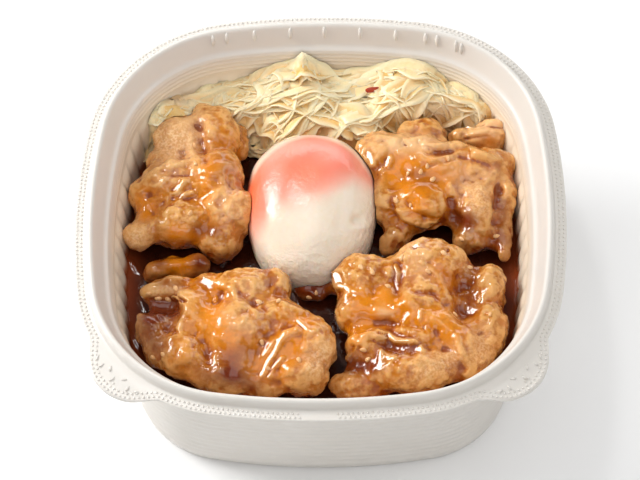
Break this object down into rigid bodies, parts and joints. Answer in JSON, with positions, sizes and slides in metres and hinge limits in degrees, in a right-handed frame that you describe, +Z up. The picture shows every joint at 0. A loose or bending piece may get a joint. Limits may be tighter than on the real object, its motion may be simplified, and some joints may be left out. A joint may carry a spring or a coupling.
{
  "type": "bowl of fried chicken rice",
  "caption": "Square take-out bowl with pull tabs, holding glazed fried chicken pieces, a soft-boiled egg, shredded cabbage and brown sauce over rice.",
  "frame": {"origin": "centre of the bowl's foot, on the surface that it stands on", "axes": "+Z up; -Y towards the front, where the two pull tabs are; +X to the right as seen from the front"},
  "size_m": [0.165, 0.165, 0.0636],
  "materials": {
    "ivory_plastic": "satin moulded",
    "brown_sauce": "wet gloss",
    "egg_white": "moist, salmon pink on top",
    "glazed_chicken": "glazed crust with sesame",
    "pale_cabbage": "moist"
  },
  "bodies": {
    "root": {"bowl": "ivory_plastic", "sauce": "brown_sauce", "egg": "egg_white", "chicken_back_left": "glazed_chicken", "chicken_back_right": "glazed_chicken", "chicken_front_left": "glazed_chicken", "chicken_front_right": "glazed_chicken", "chicken_corner": "glazed_chicken", "chicken_nub": "glazed_chicken", "cabbage": "pale_cabbage"}
  },
  "joints": []
}
